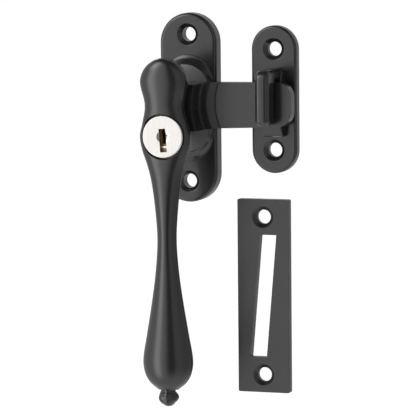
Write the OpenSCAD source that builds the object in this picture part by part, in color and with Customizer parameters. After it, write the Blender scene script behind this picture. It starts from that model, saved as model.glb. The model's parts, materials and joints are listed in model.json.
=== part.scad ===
// Locking casement window fastener: a hanging lever with a lock in its head turns a flat tongue
// into a cast hook on the frame.  A slotted mortice plate comes with it as the other keeper.
// Frame: X to the right, Y into the window, Z up.  The origin is where the pivot axis meets the
// back of the base plate.  The parts are drawn flat, with z as the height above the woodwork,
// and in_frame() stands them up.

/* [Base plate] */
// Height of the base plate
base_len = 60; // [58:0.5:66]
// Width of the base plate
base_w = 18.8; // [18.4:0.1:22]
// Thickness of the base plate
base_t = 5; // [4.6:0.1:5.2]
// Distance between the base plate's screws
base_pitch = 46.5; // [45:0.5:49]
// Height of the raised boss above the base plate
boss_h = 2.7; // [2.4:0.1:2.8]

/* [Hook plate] */
// Height of the hook plate
hook_len = 46.5; // [44:0.5:52]
// Width of the hook plate
hook_w = 14.8; // [14:0.1:18]
// Thickness of the hook plate
hook_t = 3.4; // [3:0.1:4]
// Distance between the hook plate's screws
hook_pitch = 31.8; // [31:0.1:34]
// Width of the hook bar
bar_w = 4.5; // [4:0.1:5.5]

/* [Mortice plate] */
// Height of the mortice plate
mortice_len = 61.5; // [60:0.5:70]
// Width of the mortice plate
mortice_w = 17; // [16.5:0.1:20]
// Thickness of the mortice plate
mortice_t = 2.9; // [2:0.1:4]
// Distance between the mortice plate's screws
mortice_pitch = 50.3; // [50:0.1:53]
// Width of the slanted slot
slot_w = 5.4; // [5:0.1:6]

/* [Screw holes] */
// Diameter of a screw hole
screw_d = 4.5; // [4:0.1:4.8]
// Diameter of a countersink at the surface
sink_d = 7; // [6.4:0.1:7.4]

/* [Lever] */
// Half width of the grip at its widest
grip_half_w = 8.1; // [7:0.1:9]
// Half depth of the grip at its widest
grip_half_d = 5.5; // [4.5:0.1:6.5]
// Diameter of the ball at the foot of the lever
ball_d = 6.8; // [6:0.1:7.4]

/* [Tongue] */
// Distance from the pivot to the tongue's tip
tongue_reach = 36.8; // [34:0.1:38]
// Thickness of the tongue
tongue_t = 3.4; // [3:0.1:3.5]

/* [Lock] */
// Diameter of the lock's face
face_d = 13.3; // [12.8:0.1:13.4]
// Width of the keyway
keyway_w = 2; // [1.8:0.1:2.2]
// Travel of the lock bolt in a quarter turn
bolt_travel = 2.35; // [2.2:0.05:2.35]

/* [Hidden] */
$fn = 64;
BLACK = "#26262a";
NICKEL = "#c9c9c6";
BRASS = "#b8964a";
STEEL = "#8f9296";

// heights above the woodwork
boss_top = base_t + boss_h;
arm_back = 8;
arm_front = arm_back + tongue_t;
bar_back = arm_front + 0.4;
bar_front = 19.2;
pad_top = arm_back - 0.4;
head_back = 22.8;
head_front = 31.2;
face_back = 27.6;
face_front = 28.95;

// boss outline, foot and top
boss_foot_r = 8.5;
boss_foot_len = 33.8;
boss_top_r = 7.7;
boss_top_len = 27.4;

// pivot and what holds it
journal_r = 4;
journal_gap = 0.03;
square_w = 4.8;
square_play = 0.04;
square_front = 26.6;
recess_r = 6.6;
recess_h = 2.6;
ring_low = 0.5;
ring_t = 0.7;
washer_low = 1.25;
washer_t = 0.8;
stop_r = 8.2;
stop_w = 3;
stop_gap = 0.3;
quarter = 90;
block_half_w = 8.6;
waist_r = 19;
waist_x = 7.3;
waist_level = 2;
block_low = -6;
block_high = 8.6;
pin_level = 17;
pin_r = 1.25;
pin_end = -1.8;
pin_head = 8.3;

// tongue outline: its lower and upper edge at the tip
tip_low = -5;
tip_high = 8.9;
tip_r = 4.4;
fillet_r = 4;

// hook and mortice plate places
hook_x = 28;
hook_z = 2.9;
bar_x = 26.7;
bar_low = -4.4;
bar_high = 13;
throat_roof = 9.4;
pad_x = 25.4;
pad_w = 6.4;
pad_low = -8.6;
pad_ramp = 2.8;
mortice_x = 23.9;
mortice_z = -59.5;
slot_len = 39;
slot_lean = 3.4;

// lock
lock_z = -7.3;
keyway_tilt = 4.1;
keyway_h = 7.3;
keyway_drop = 1.15;
plug_r = 3.6;
plug_keyway_h = 6;
dimple_ball_r = 5.05;
dimple_rise = 4.6;
plug_back = 20.3;
housing_r = 4.5;
housing_back = 19.3;
face_gap = 0.3;
tail_r = 2.5;
clip_low = 18.5;
clip_t = 0.6;
clip_r = 3.6;
clip_groove_r = 2;
clip_room_r = 3.9;
cap_low = 17.2;
cap_t = 0.8;
sleeve_r = 2.3;
sleeve_low = 8.5;
bolt_r = 1.5;
bolt_low = 8.15;
bolt_high = 16.8;
tang_w = 1.9;
tang_t = 0.8;
tang_low = 13.4;
cross_r = 0.5;
cross_level = 12.3;
socket_r = 1.8;
socket_low = 5.4;
wafer_count = 5;
wafer_pitch = 1.3;
wafer_first = 26.4;
wafer_t = 0.8;
wafer_w = 3.2;
wafer_h = 8;
spring_notch_w = 0.8;
spring_notch_h = 1.6;
spring_notch_z = 1.9;
spring_coil_r = 0.3;
spring_len = 1.4;
grub_level = 24.7;
grub_z = 2.2;
grub_r = 1.48;
grub_gap = 0.04;
spigot_r = 1.5;
spigot_gap = 0.02;

// lever stations: [z, half width, half depth, middle above the woodwork, squareness]
LEVER = [
    [17.0, 1.2, 1.6, 27.3, 2.2],
    [16.3, 3.2, 2.6, 27.3, 2.3],
    [14.6, 5.5, 3.5, 27.2, 2.4],
    [12.2, 7.1, 4.0, 27.1, 2.4],
    [9.2, 7.7, 4.1, 27.0, 2.4],
    [2.4, 6.3, 3.7, 26.7, 2.4],
    [-3.4, 7.4, 3.35, 26.2, 2.6],
    [-7.3, 8.3, 3.2, 26.0, 2.8],
    [-11.4, 7.7, 3.2, 26.0, 2.6],
    [-16.2, 6.1, 3.1, 25.9, 2.4],
    [-21.1, 4.9, 3.0, 25.8, 2.2],
    [-29.0, 3.8, 2.8, 25.7, 2.1],
    [-39.5, 3.1, 2.6, 25.6, 2.0],
    [-50.0, 3.8, 2.9, 25.6, 2.0],
    [-60.0, 5.2, 3.7, 25.6, 2.0],
    [-70.0, 6.9, 4.8, 25.6, 2.0],
    [-77.4, grip_half_w, grip_half_d, 25.6, 2.0],
    [-81.6, 7.6, 5.2, 25.6, 2.0],
    [-84.6, 6.0, 4.2, 25.6, 2.0],
    [-86.8, 3.4, 2.6, 25.6, 2.0]
];
lever_steps = 2;
lever_sides = 28;
grip_level = 25.6;
grip_end = -86.8;
ball_z = -89.3;

// ---- helpers ----

// Stands a flat drawing up against the woodwork.
module in_frame() {
    rotate([90, 0, 0]) children();
}

// A disc or rod standing from height low to height high.
module rod(r, low, high) {
    translate([0, 0, low]) cylinder(r = r, h = high - low);
}

// A box centred on the axis, standing from low to high.
module post(w, h, low, high) {
    translate([-w / 2, -h / 2, low]) cube([w, h, high - low]);
}

// A plate with round ends and a bevelled front edge.
module stadium_plate(len, w, t, bevel) {
    half = w / 2;
    side = [[0, 0], [half, 0], [half, t - bevel], [half - bevel, t], [0, t]];
    for (end = [-1, 1]) {
        translate([0, end * (len - w) / 2, 0]) rotate_extrude() polygon(side);
    }
    rotate([90, 0, 0]) linear_extrude(len - w, center = true)
        polygon([[-half, 0], [half, 0], [half, t - bevel], [half - bevel, t],
            [bevel - half, t], [-half, t - bevel]]);
}

// Two countersunk screw holes a pitch apart.
module screw_holes(pitch, t) {
    sink_h = (sink_d - screw_d) / 2;
    for (end = [-1, 1]) {
        translate([0, end * pitch / 2, 0]) {
            rod(screw_d / 2, -1, t + 1);
            translate([0, 0, t - sink_h]) cylinder(r1 = screw_d / 2, r2 = sink_d / 2, h = sink_h);
            rod(sink_d / 2, t, t + 1);
        }
    }
}

// A thin stadium, as one layer of the boss.
module stadium_layer(len, r, level) {
    for (end = [-1, 1]) {
        translate([0, end * (len / 2 - r), level]) cylinder(r = r, h = 0.1, $fn = 48);
    }
}

// ---- plates ----

module base_plate() {
    plate_bevel = 0.9;
    color(BLACK) in_frame() difference() {
        union() {
            stadium_plate(base_len, base_w, base_t, plate_bevel);
            hull() {
                stadium_layer(boss_foot_len, boss_foot_r, base_t - 0.1);
                stadium_layer(boss_top_len, boss_top_r, boss_top - 0.1);
            }
        }
        screw_holes(base_pitch, base_t);
        rod(journal_r + journal_gap, -1, boss_top + 1);
        rod(recess_r, -1, recess_h);
        stop_pocket();
        for (turn = [0, -quarter]) {
            rotate([0, 0, turn]) translate([0, lock_z, 0]) rod(socket_r, socket_low, boss_top + 1);
        }
    }
}

// The quarter-circle pocket that the stop washer's lug runs in.
module stop_pocket() {
    lug_half_angle = 14;
    reach = quarter / 2 + lug_half_angle;
    outer = stop_r + stop_gap;
    far = 2 * outer;
    intersection() {
        rod(outer, -1, recess_h);
        translate([0, 0, -1]) linear_extrude(recess_h + 1)
            polygon([[0, 0], [-far * sin(reach), far * cos(reach)], [0, far],
                [far * sin(reach), far * cos(reach)]]);
    }
}

module hook_plate() {
    plate_bevel = 0.7;
    color(BLACK) in_frame() translate([hook_x, hook_z, 0]) difference() {
        union() {
            stadium_plate(hook_len, hook_w, hook_t, plate_bevel);
            translate([-hook_x, -hook_z, 0]) {
                hook_casting();
                hook_pad();
            }
        }
        screw_holes(hook_pitch, hook_t);
    }
}

// The leg and the bar that hangs from it, with a rounded shoulder and a rounded toe.
module hook_casting() {
    shoulder_r = 3;
    toe_r = 1.4;
    lead = 1.2;
    translate([bar_x, 0, 0]) rotate([90, 0, 90]) linear_extrude(bar_w) difference() {
        union() {
            translate([bar_low, bar_back]) square([bar_high - bar_low, bar_front - bar_back]);
            translate([throat_roof, hook_t - 1]) square([bar_high - throat_roof, bar_front - hook_t]);
        }
        corner_cut(bar_high, bar_front, shoulder_r, 1, 1);
        corner_cut(bar_low, bar_front, toe_r, -1, 1);
        polygon([[bar_low - 1, bar_back - 1], [bar_low + lead, bar_back - 1],
            [bar_low + lead, bar_back], [bar_low, bar_back + lead], [bar_low - 1, bar_back + lead]]);
    }
}

// What is cut off to round a square corner at (x, y) that points along (dx, dy).
module corner_cut(x, y, r, dx, dy) {
    translate([x - dx * r, y - dy * r]) difference() {
        scale([dx, dy]) square(r + 1);
        circle(r);
    }
}

// The ramped pad that the tongue slides on to.
module hook_pad() {
    translate([pad_x, 0, 0]) rotate([90, 0, 90]) linear_extrude(pad_w)
        polygon([[pad_low, hook_t - 1], [bar_high - 0.4, hook_t - 1], [bar_high - 0.4, pad_top],
            [pad_low + pad_ramp, pad_top], [pad_low, hook_t]]);
}

module mortice_plate() {
    color(BLACK) in_frame() translate([mortice_x, mortice_z, 0]) difference() {
        translate([-mortice_w / 2, -mortice_len / 2, 0]) cube([mortice_w, mortice_len, mortice_t]);
        screw_holes(mortice_pitch, mortice_t);
        translate([0, 0, -1]) linear_extrude(mortice_t + 2)
            polygon([[slot_lean / 2 - slot_w / 2, slot_len / 2], [slot_lean / 2 + slot_w / 2, slot_len / 2],
                [slot_w / 2 - slot_lean / 2, -slot_len / 2], [-slot_w / 2 - slot_lean / 2, -slot_len / 2]]);
    }
}

// ---- lever, tongue and pivot ----

// Smooth value of column c between stations i and i + 1, at the part t of the way.
function station(i) = LEVER[max(0, min(len(LEVER) - 1, i))];
function slope(i, c) =
    (station(i + 1)[c] - station(i - 1)[c]) / (station(i + 1)[0] - station(i - 1)[0]);
function blend(i, c, t) =
    let (span = station(i + 1)[0] - station(i)[0])
    (2 * t ^ 3 - 3 * t ^ 2 + 1) * station(i)[c] + (t ^ 3 - 2 * t ^ 2 + t) * span * slope(i, c)
    + (3 * t ^ 2 - 2 * t ^ 3) * station(i + 1)[c] + (t ^ 3 - t ^ 2) * span * slope(i + 1, c);
function power(v, n) = sign(v) * abs(v) ^ (2 / n);
function lever_ring(i, t) =
    let (z = station(i)[0] + t * (station(i + 1)[0] - station(i)[0]))
    [for (k = [0:lever_sides - 1]) let (a = 360 * k / lever_sides)
        [blend(i, 1, t) * power(cos(a), blend(i, 4, t)), z,
            blend(i, 3, t) + blend(i, 2, t) * power(sin(a), blend(i, 4, t))]];

module lever_body() {
    last = len(LEVER) - 1;
    rings = [for (i = [0:last - 1], s = [0:lever_steps - 1]) lever_ring(i, s / lever_steps),
        lever_ring(last - 1, 1)];
    count = len(rings);
    side = [for (r = [0:count - 2], k = [0:lever_sides - 1])
        let (a = r * lever_sides + k, b = r * lever_sides + (k + 1) % lever_sides)
        each [[a, b, b + lever_sides], [a, b + lever_sides, a + lever_sides]]];
    ends = [[for (k = [lever_sides - 1:-1:0]) k],
        [for (k = [0:lever_sides - 1]) (count - 1) * lever_sides + k]];
    polyhedron(points = [for (ring = rings) each ring], faces = concat(side, ends));
}

module lever_handle() {
    spigot_room = 8;
    color(BLACK) in_frame() difference() {
        lever_body();
        post(square_w + square_play, square_w + square_play, head_back - 2, square_front + 0.2);
        translate([0, lock_z, 0]) {
            rod(housing_r + 0.01, head_back - 2, head_front + 2);
            rod(face_d / 2 + face_gap, face_back - 0.2, head_front + 2);
        }
        translate([0, grub_z, grub_level]) rotate([0, -90, 0]) cylinder(r = grub_r + grub_gap, h = 20);
        translate([0, ball_z, grip_level]) rotate([-90, 0, 0])
            cylinder(r = spigot_r + spigot_gap, h = spigot_room);
    }
}

// The ball is cut flat where it meets the grip, and its spigot goes up into the grip.
module ball_finial() {
    spigot_len = 7;
    neck = grip_end - ball_z - 0.02;
    color(BLACK) in_frame() translate([0, ball_z, grip_level]) rotate([-90, 0, 0]) {
        difference() {
            sphere(d = ball_d);
            translate([0, 0, neck]) cylinder(r = ball_d, h = ball_d);
        }
        cylinder(r = spigot_r, h = spigot_len);
    }
}

// The flat tongue, its shouldered root with the concave fillet, and the reliefs for the lock.
module tongue_arm() {
    relief = 0.1;
    color(BLACK) in_frame() difference() {
        union() {
            translate([0, 0, arm_back]) linear_extrude(tongue_t) tongue_outline();
            root_block(head_back - arm_back - 0.02);
            root_fillet();
        }
        post(square_w + square_play, square_w + square_play, arm_back - 1, head_back + 1);
        pin_hole();
        translate([0, lock_z, 0]) {
            rod(sleeve_r + relief, arm_back - 1, head_back + 1);
            rod(housing_r + relief, cap_low - 2 * relief, head_back + 1);
        }
    }
}

// The hole for the tongue's pin, open at the top.
module pin_hole() {
    translate([0, pin_end - 0.1, pin_level]) rotate([-90, 0, 0]) cylinder(r = pin_r + 0.01, h = 20);
}

module tongue_outline() {
    reach = tongue_reach - tip_r;
    union() {
        polygon([[0, block_low], [reach, tip_low], [tongue_reach, tip_low + tip_r],
            [tongue_reach, tip_high - tip_r], [reach, tip_high], [0, block_high]]);
        translate([reach, tip_low + tip_r]) circle(tip_r);
        translate([reach, tip_high - tip_r]) circle(tip_r);
    }
}

// The block between the tongue and the lever, with a waist in each side.
module root_block(height) {
    translate([0, 0, arm_back]) linear_extrude(height) difference() {
        translate([-block_half_w, block_low]) square([2 * block_half_w, block_high - block_low]);
        for (side = [-1, 1]) {
            translate([side * (waist_x + waist_r), waist_level]) circle(waist_r, $fn = 128);
        }
    }
}

// The concave sweep from the waisted side of the root down to the face of the tongue.
module root_fillet() {
    inner = waist_r - fillet_r;
    intersection() {
        translate([waist_x + waist_r, waist_level, arm_front - 0.1]) rotate_extrude($fn = 128) difference() {
            translate([inner, 0]) square([fillet_r + 0.2, fillet_r + 0.1]);
            translate([inner, fillet_r + 0.1]) circle(fillet_r);
        }
        translate([0, block_low, arm_back]) cube([16, block_high - block_low, head_back]);
    }
}

module pivot_spindle() {
    flat_half = 3.3;
    groove_r = 3.4;
    color(STEEL) in_frame() difference() {
        union() {
            rod(journal_r, 0.2, boss_top + 0.1);
            post(square_w, square_w, boss_top, square_front);
        }
        difference() {
            rod(journal_r + 1, ring_low - 0.02, ring_low + ring_t + 0.02);
            rod(groove_r, 0, 3);
        }
        for (side = [-1, 1]) {
            translate([side * (flat_half + 5), 0, 0]) post(10, 12, ring_low - 1, washer_low + washer_t);
        }
        pin_hole();
    }
}

module tongue_pin() {
    color(STEEL) in_frame() translate([0, pin_end, pin_level]) rotate([-90, 0, 0])
        cylinder(r = pin_r, h = pin_head - pin_end);
}

module grub_screw() {
    grub_len = 3;
    hex_r = 0.85;
    hex_depth = 1.6;
    color(STEEL) in_frame() translate([-square_w / 2 - 0.05, grub_z, grub_level]) rotate([0, -90, 0])
        difference() {
            cylinder(r = grub_r, h = grub_len);
            translate([0, 0, grub_len - hex_depth]) cylinder(r = hex_r, h = 3, $fn = 6);
        }
}

module disc_spring() {
    inner = journal_r + 0.15;
    outer = 6.2;
    color(STEEL) in_frame() rotate_extrude()
        polygon([[inner, 2.08], [outer, 2.3], [outer, 2.58], [inner, 2.36]]);
}

module stop_washer() {
    flat_half = 3.35;
    lean = quarter / 2;
    color(STEEL) in_frame() difference() {
        union() {
            rod(6.2, washer_low, washer_low + washer_t);
            rotate([0, 0, lean]) translate([-stop_w / 2, 0, washer_low]) cube([stop_w, stop_r, washer_t]);
        }
        intersection() {
            rod(journal_r + 0.04, 0, 4);
            post(2 * flat_half, 12, 0, 4);
        }
    }
}

module retaining_ring() {
    inner = 3.45;
    outer = 5.2;
    mouth = 2.4;
    color(STEEL) in_frame() difference() {
        rod(outer, ring_low, ring_low + ring_t);
        rod(inner, 0, 3);
        translate([-mouth / 2, -8, 0]) cube([mouth, 8, 3]);
    }
}

// ---- lock ----

// Everything in the lock is drawn about its own axis.
module at_lock() {
    in_frame() translate([0, lock_z, 0]) children();
}

// Turns with the tilted keyway.
module with_keyway() {
    rotate([0, 0, keyway_tilt]) children();
}

module lock_housing() {
    color(STEEL) at_lock() difference() {
        rod(housing_r, housing_back, face_back - 0.1);
        rod(plug_r + 0.03, plug_back - 0.1, face_back + 1);
        rod(tail_r + 0.05, housing_back - 1, plug_back + 1);
    }
}

// The wafer slots are wider on the springs' side.
module lock_plug() {
    slot_play = 0.03;
    slot_shift = 0.2;
    color(NICKEL) at_lock() difference() {
        union() {
            rod(face_d / 2, face_back, face_front);
            rod(plug_r, plug_back, face_back + 0.1);
            rod(tail_r, clip_low - 0.2, plug_back + 0.1);
            post(tang_t, tang_w, tang_low, clip_low);
        }
        with_keyway() translate([0, -keyway_drop, 0]) post(keyway_w, keyway_h, face_back, face_front + 1);
        with_keyway() post(keyway_w, plug_keyway_h, plug_back + 0.6, face_back + 1);
        translate([0, 0, face_front + dimple_rise]) sphere(r = dimple_ball_r);
        for (i = [0:wafer_count - 1]) {
            with_keyway() translate([slot_shift, 0, wafer_level(i) - slot_play])
                post(wafer_w + 0.1 + 2 * slot_shift, 12, 0, wafer_t + 2 * slot_play);
        }
        difference() {
            rod(tail_r + 1, clip_low - 0.02, clip_low + clip_t + 0.02);
            rod(clip_groove_r, clip_low - 1, clip_low + 2);
        }
    }
}

// The notch beside a wafer that its spring sits in.
module spring_notch(low, high) {
    translate([wafer_w / 2, spring_notch_z, 0]) post(spring_notch_w, spring_notch_h, low, high);
}

function wafer_level(i) = wafer_first - i * wafer_pitch;

// A flat wafer with its window, cut to one of three heights.
module wafer(i) {
    lift = [0.3, -0.3, 0, 0.3, -0.3][i];
    window_h = 5.2;
    color(BRASS) at_lock() with_keyway() difference() {
        intersection() {
            post(wafer_w, wafer_h, wafer_level(i), wafer_level(i) + wafer_t);
            rod(plug_r - 0.02, plug_back, face_back);
        }
        translate([0, lift, 0]) post(keyway_w - 0.7, window_h, plug_back, face_back);
        spring_notch(plug_back, face_back);
    }
}

module wafer_springs() {
    top = spring_notch_z + spring_len / 2;
    color(STEEL) at_lock() with_keyway() for (i = [0:wafer_count - 1]) {
        translate([wafer_w / 2, top, wafer_level(i) + wafer_t / 2]) rotate([90, 0, 0]) difference() {
            cylinder(r = spring_coil_r, h = spring_len);
            translate([0, 0, -1]) cylinder(r = spring_coil_r / 2, h = 4);
        }
    }
}

module plug_clip() {
    color(STEEL) at_lock() difference() {
        rod(clip_r, clip_low, clip_low + clip_t);
        rod(clip_groove_r + 0.05, clip_low - 1, clip_low + 2);
        translate([-1.5, -6, clip_low - 1]) cube([3, 6, 3]);
    }
}

// The sleeve behind the lock: a cap on the housing and a tube with a helical slot for the bolt.
module bolt_sleeve() {
    slot_steps = 12;
    color(STEEL) at_lock() difference() {
        union() {
            rod(housing_r, cap_low, housing_back - 0.01);
            rod(sleeve_r, sleeve_low, cap_low + 0.5);
        }
        rod(clip_room_r, cap_low + cap_t, housing_back + 1);
        rod(bolt_r + 0.03, sleeve_low - 1, housing_back + 1);
        for (i = [0:slot_steps]) {
            rotate([0, 0, -quarter * i / slot_steps])
                translate([-5, 0, cross_level - bolt_travel * i / slot_steps])
                rotate([0, 90, 0]) cylinder(r = cross_r + 0.06, h = 10);
        }
    }
}

module lock_bolt() {
    nose = 0.4;
    color(STEEL) at_lock() difference() {
        union() {
            rod(bolt_r, bolt_low + nose, bolt_high);
            translate([0, 0, bolt_low]) cylinder(r1 = bolt_r - nose, r2 = bolt_r, h = nose + 0.001);
        }
        post(tang_t + 0.08, 2 * bolt_r + 1, tang_low - 0.2, bolt_high + 1);
        translate([-5, 0, cross_level]) rotate([0, 90, 0]) cylinder(r = cross_r + 0.01, h = 10);
    }
}

module bolt_cross_pin() {
    reach = 2.2;
    color(STEEL) at_lock() translate([-reach, 0, cross_level]) rotate([0, 90, 0])
        cylinder(r = cross_r, h = 2 * reach);
}

base_plate();
hook_plate();
mortice_plate();
lever_handle();
ball_finial();
tongue_arm();
pivot_spindle();
tongue_pin();
grub_screw();
disc_spring();
stop_washer();
retaining_ring();
lock_housing();
lock_plug();
wafer(0);  // wafer_1
wafer(1);  // wafer_2
wafer(2);  // wafer_3
wafer(3);  // wafer_4
wafer(4);  // wafer_5
wafer_springs();
plug_clip();
bolt_sleeve();
lock_bolt();
bolt_cross_pin();
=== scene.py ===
"""Looks of a black locking casement window fastener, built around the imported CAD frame.

Sizes are in millimetres. A maker's flat drawing has x to the right, up, and height above the
woodwork; stand() turns such a point into the frame's metres, where the woodwork lies at y = 0.
"""

from __future__ import annotations

import json
import logging
import math
from dataclasses import dataclass
from enum import Enum
from typing import Iterable, Sequence

import bmesh
import bpy
from mathutils import Matrix, Vector

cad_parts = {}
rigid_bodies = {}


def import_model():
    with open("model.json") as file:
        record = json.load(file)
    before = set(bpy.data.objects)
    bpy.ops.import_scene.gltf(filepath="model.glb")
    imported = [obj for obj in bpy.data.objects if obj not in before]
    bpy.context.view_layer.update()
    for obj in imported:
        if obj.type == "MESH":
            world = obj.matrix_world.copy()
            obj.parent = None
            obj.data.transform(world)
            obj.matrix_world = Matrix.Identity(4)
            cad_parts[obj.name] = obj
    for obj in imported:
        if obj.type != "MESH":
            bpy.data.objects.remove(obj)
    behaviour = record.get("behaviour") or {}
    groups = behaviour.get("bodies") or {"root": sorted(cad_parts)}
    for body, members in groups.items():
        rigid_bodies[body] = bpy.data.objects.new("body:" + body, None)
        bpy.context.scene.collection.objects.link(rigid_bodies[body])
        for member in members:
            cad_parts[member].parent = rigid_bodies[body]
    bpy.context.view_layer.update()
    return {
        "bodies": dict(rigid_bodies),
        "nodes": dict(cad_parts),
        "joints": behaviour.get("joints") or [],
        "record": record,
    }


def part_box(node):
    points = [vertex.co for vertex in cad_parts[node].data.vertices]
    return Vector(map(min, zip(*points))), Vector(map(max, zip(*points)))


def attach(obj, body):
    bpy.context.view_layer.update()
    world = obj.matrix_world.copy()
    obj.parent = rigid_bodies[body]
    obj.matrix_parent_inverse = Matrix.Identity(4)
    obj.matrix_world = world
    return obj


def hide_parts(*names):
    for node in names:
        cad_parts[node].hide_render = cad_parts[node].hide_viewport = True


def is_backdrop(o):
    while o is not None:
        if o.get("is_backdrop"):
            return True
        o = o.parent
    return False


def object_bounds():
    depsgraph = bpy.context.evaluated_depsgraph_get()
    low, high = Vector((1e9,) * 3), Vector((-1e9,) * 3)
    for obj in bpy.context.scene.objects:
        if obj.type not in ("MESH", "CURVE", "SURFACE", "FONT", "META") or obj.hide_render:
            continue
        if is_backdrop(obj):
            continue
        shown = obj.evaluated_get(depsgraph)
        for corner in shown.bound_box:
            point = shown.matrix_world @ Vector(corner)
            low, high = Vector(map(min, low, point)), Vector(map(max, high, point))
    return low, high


LOG = logging.getLogger("fastener")
MM = 0.001
EDGE_STEPS = 6
RIM_STEPS = 5

Flat = tuple[float, float]
Point = tuple[float, float, float]
Ring = list[Point]
Piece = bpy.types.Object
Finish = bpy.types.Material
Tree = bpy.types.NodeTree
Node = bpy.types.Node
Socket = bpy.types.NodeSocket


class Body(Enum):
    """The bodies that the new pieces ride on."""

    WINDOW = "window"
    LEVER = "lever"
    PLUG = "plug"


class Slot(Enum):
    """The record's material slots, passed along with the new pieces."""

    CASTING = "black_casting"
    PLATE = "black_plate"
    NICKEL = "lock_nickel"


# ---------------------------------------------------------------- drawing helpers


def stand(x: float, up: float, height: float) -> Vector:
    """Returns a flat drawing's point, in millimetres, as a point of the frame, in metres."""
    return Vector((x * MM, -height * MM, up * MM))


def node_box(node: str) -> tuple[Point, Point]:
    """Reads a CAD node's box.

    Args:
        node: the node's name.

    Returns:
        Its lowest and highest (x, up, height), in millimetres.
    """
    low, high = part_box(node)
    return (
        (low[0] / MM, low[2] / MM, -high[1] / MM),
        (high[0] / MM, high[2] / MM, -low[1] / MM),
    )


def box_middle(low: Point, high: Point) -> Flat:
    """Returns the middle of a box on the flat drawing."""
    return (low[0] + high[0]) / 2, (low[1] + high[1]) / 2


def arc(centre: Flat, radius: float, start: float, end: float, steps: int) -> list[Flat]:
    """Draws an arc.

    Args:
        centre: the arc's centre.
        radius: its radius.
        start: the first point's angle in degrees.
        end: the last point's angle in degrees.
        steps: how many pieces the arc has.

    Returns:
        The steps + 1 points of the arc.
    """
    angles = [math.radians(start + (end - start) * k / steps) for k in range(steps + 1)]
    return [(centre[0] + radius * math.cos(a), centre[1] + radius * math.sin(a)) for a in angles]


def stadium(length: float, width: float, steps: int = 32) -> list[Flat]:
    """Draws an upright stadium about the origin.

    Args:
        length: its height.
        width: its width.
        steps: the pieces in each round end.

    Returns:
        Its outline's points, anticlockwise.
    """
    radius = width / 2
    reach = length / 2 - radius
    return arc((0, reach), radius, 0, 180, steps) + arc((0, -reach), radius, 180, 360, steps)


def circle(radius: float, steps: int = 64) -> list[Flat]:
    """Returns a circle's points about the origin."""
    return arc((0, 0), radius, 0, 360 - 360 / steps, steps - 1)


def at_height(outline: Iterable[Flat], height: float, centre: Flat = (0, 0)) -> Ring:
    """Returns an outline as a ring at a height, moved to a centre."""
    return [(x + centre[0], up + centre[1], height) for x, up in outline]


def inset(outline: Sequence[Flat], distance: float) -> list[Flat]:
    """Moves every side of a closed outline inward.

    Args:
        outline: the outline's points, anticlockwise.
        distance: how far inward, in millimetres.

    Returns:
        As many points, at the corners of the moved sides.
    """
    moved = []
    count = len(outline)
    for k, (x, y) in enumerate(outline):
        before, after = outline[k - 1], outline[(k + 1) % count]
        first = Vector((x - before[0], y - before[1])).normalized()
        second = Vector((after[0] - x, after[1] - y)).normalized()
        left, right = Vector((-first.y, first.x)), Vector((-second.y, second.x))
        middle = (left + right).normalized()
        reach = distance / max(0.5, middle.dot(left))
        moved.append((x + middle.x * reach, y + middle.y * reach))
    return moved


def plate_rings(
    size: Flat, thick: float, edge_r: float, back_edge: float, centre: Flat = (0, 0)
) -> list[Ring]:
    """Draws a stadium plate from its back to the inner side of its rounded front edge.

    Args:
        size: its length and width.
        thick: its thickness.
        edge_r: the front edge's radius.
        back_edge: the back edge's chamfer.
        centre: its middle.

    Returns:
        The plate's rings.
    """
    length, width = size
    rings = [
        at_height(stadium(length - 2 * back_edge, width - 2 * back_edge), 0, centre),
        at_height(stadium(length, width), back_edge, centre),
    ]
    for step in range(EDGE_STEPS + 1):
        turn = math.radians(90 * step / EDGE_STEPS)
        narrower = 2 * edge_r * (1 - math.cos(turn))
        level = thick - edge_r * (1 - math.sin(turn))
        rings.append(at_height(stadium(length - narrower, width - narrower), level, centre))
    return rings


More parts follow.
